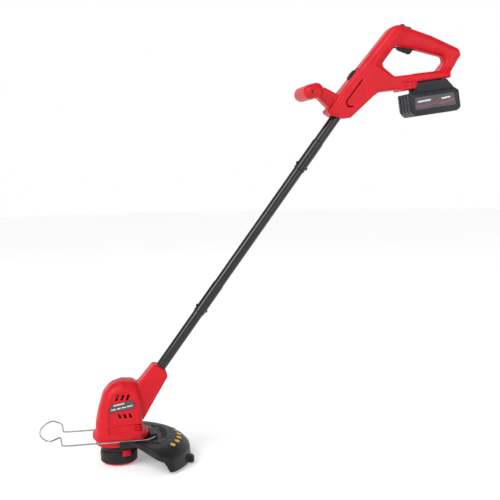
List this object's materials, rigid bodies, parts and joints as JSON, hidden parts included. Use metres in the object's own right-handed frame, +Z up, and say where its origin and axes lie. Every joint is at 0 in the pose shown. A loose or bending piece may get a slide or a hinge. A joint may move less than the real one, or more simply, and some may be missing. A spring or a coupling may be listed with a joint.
{
  "type": "string trimmer",
  "caption": "Cordless string trimmer with a D-handle, front T-grip, jointed pole, motor head with line spool, cutting guard, folding wire plant guard and slide-on battery.",
  "frame": {"origin": "centre of the line spool's underside, on the motor axis", "axes": "+Z up along the motor axis, +X towards the battery end, +Y to the user's right"},
  "size_m": [0.8425, 0.2372, 0.8312],
  "materials": {
    "red_plastic": "satin moulded plastic with a fine texture",
    "black_plastic": "satin moulded plastic",
    "tube_paint": "gloss black powder coat",
    "steel": "zinc plated",
    "wire_steel": "bright plated wire",
    "copper": "bare copper windings",
    "contact_metal": "plated contact",
    "magnet": "sintered ferrite",
    "carbon": "pressed carbon",
    "board": "solder mask",
    "cable_rubber": "matt",
    "pack_plastic": "dark slate moulded plastic",
    "label": "printed film",
    "yellow_film": "printed film",
    "line_nylon": "drawn nylon",
    "cell_wrap": "shrink wrap"
  },
  "bodies": {
    "root": {"handle_shell_left": "red_plastic", "handle_shell_right": "red_plastic", "handle_screws": "steel", "front_grip_screw": "steel", "trigger_pin": "steel", "trigger_spring": "steel", "lock_off_spring": "steel", "switch_module": "black_plastic", "control_board": "board", "terminal_block": "black_plastic", "terminal_blades": "contact_metal", "upper_tube": "tube_paint", "middle_tube": "tube_paint", "lower_tube": "tube_paint", "upper_spring_clip": "steel", "lower_spring_clip": "steel", "power_cable": "cable_rubber", "head_shell_left": "red_plastic", "head_shell_right": "red_plastic", "head_screws": "steel", "nameplate": "label", "motor_can": "steel", "motor_magnets": "magnet", "motor_end_cap": "black_plastic", "motor_brushes": "carbon", "motor_bearings": "steel", "cutting_guard": "black_plastic", "guard_screws": "steel", "guard_dots": "yellow_film", "line_cutter_blade": "steel"},
    "rotor": {"motor_shaft": "steel", "motor_rotor": "copper", "commutator": "copper", "cooling_fan": "black_plastic", "spool_housing": "black_plastic", "spool_cap": "black_plastic", "spool_spring": "steel", "line_eyelets": "steel"},
    "bump_spool": {"line_spool": "red_plastic", "wound_line": "line_nylon"},
    "tab_left": {"release_tab_left": "red_plastic"},
    "tab_right": {"release_tab_right": "red_plastic"},
    "trigger": {"trigger": "black_plastic"},
    "lock_off": {"lock_off_button": "black_plastic"},
    "selector": {"speed_selector": "black_plastic"},
    "plant_guard": {"wire_guard": "wire_steel"},
    "snap_upper_front": {"upper_snap_front": "black_plastic"},
    "snap_upper_rear": {"upper_snap_rear": "black_plastic"},
    "snap_lower_front": {"lower_snap_front": "black_plastic"},
    "snap_lower_rear": {"lower_snap_rear": "black_plastic"},
    "battery": {"battery_case_upper": "pack_plastic", "battery_case_lower": "pack_plastic", "battery_cells": "cell_wrap", "battery_board": "board", "battery_contacts": "contact_metal", "battery_labels": "label", "battery_release_spring": "steel"},
    "battery_button": {"battery_release_button": "red_plastic"}
  },
  "joints": [
    {"name": "motor_spin", "type": "hinge", "parent": "root", "child": "rotor", "pos_m": [0, 0, 0.06], "axis": [0, 0, 1], "continuous": true},
    {"name": "bump_feed", "type": "slide", "parent": "rotor", "child": "bump_spool", "axis": [0, 0, 1], "range_m": [0, 0.005], "stiffness_N_per_m": 400, "springref_m": -0.004},
    {"name": "left_tab_press", "type": "slide", "parent": "rotor", "child": "tab_left", "axis": [-0.4067, 0.9135, 0], "range_m": [0, 0.0025], "stiffness_N_per_m": 800, "springref_m": -0.001},
    {"name": "right_tab_press", "type": "slide", "parent": "rotor", "child": "tab_right", "axis": [0.4067, -0.9135, 0], "range_m": [0, 0.0025], "stiffness_N_per_m": 800, "springref_m": -0.001},
    {"name": "trigger_squeeze", "type": "hinge", "parent": "root", "child": "trigger", "pos_m": [0.563, 0, 0.79], "axis": [0, -1, 0], "range_deg": [0, 9], "stiffness_Nm_per_rad": 0.6, "springref_deg": -4.58},
    {"name": "lock_off_press", "type": "slide", "parent": "root", "child": "lock_off", "axis": [-0.225, 0, -0.9744], "range_m": [0, 0.0025], "stiffness_N_per_m": 900, "springref_m": -0.001},
    {"name": "speed_select", "type": "slide", "parent": "root", "child": "selector", "axis": [0.6225, 0, 0.7826], "range_m": [0, 0.006]},
    {"name": "plant_guard_fold", "type": "hinge", "parent": "root", "child": "plant_guard", "pos_m": [0.068, 0, 0.0515], "axis": [0, 1, 0], "range_deg": [0, 95]},
    {"name": "upper_front_snap", "type": "slide", "parent": "root", "child": "snap_upper_front", "axis": [0.7997, 0, -0.6004], "range_m": [0, 0.0022], "stiffness_N_per_m": 900, "springref_m": -0.001},
    {"name": "upper_rear_snap", "type": "slide", "parent": "root", "child": "snap_upper_rear", "axis": [-0.7997, 0, 0.6004], "range_m": [0, 0.0022], "stiffness_N_per_m": 900, "springref_m": -0.001},
    {"name": "lower_front_snap", "type": "slide", "parent": "root", "child": "snap_lower_front", "axis": [0.7997, 0, -0.6004], "range_m": [0, 0.0022], "stiffness_N_per_m": 900, "springref_m": -0.001},
    {"name": "lower_rear_snap", "type": "slide", "parent": "root", "child": "snap_lower_rear", "axis": [-0.7997, 0, 0.6004], "range_m": [0, 0.0022], "stiffness_N_per_m": 900, "springref_m": -0.001},
    {"name": "battery_slide", "type": "slide", "parent": "root", "child": "battery", "axis": [0.9914, 0, 0.1305], "range_m": [0, 0.075]},
    {"name": "battery_release", "type": "slide", "parent": "battery", "child": "battery_button", "axis": [0.1305, 0, -0.9914], "range_m": [0, 0.0025], "stiffness_N_per_m": 900, "springref_m": -0.001}
  ]
}
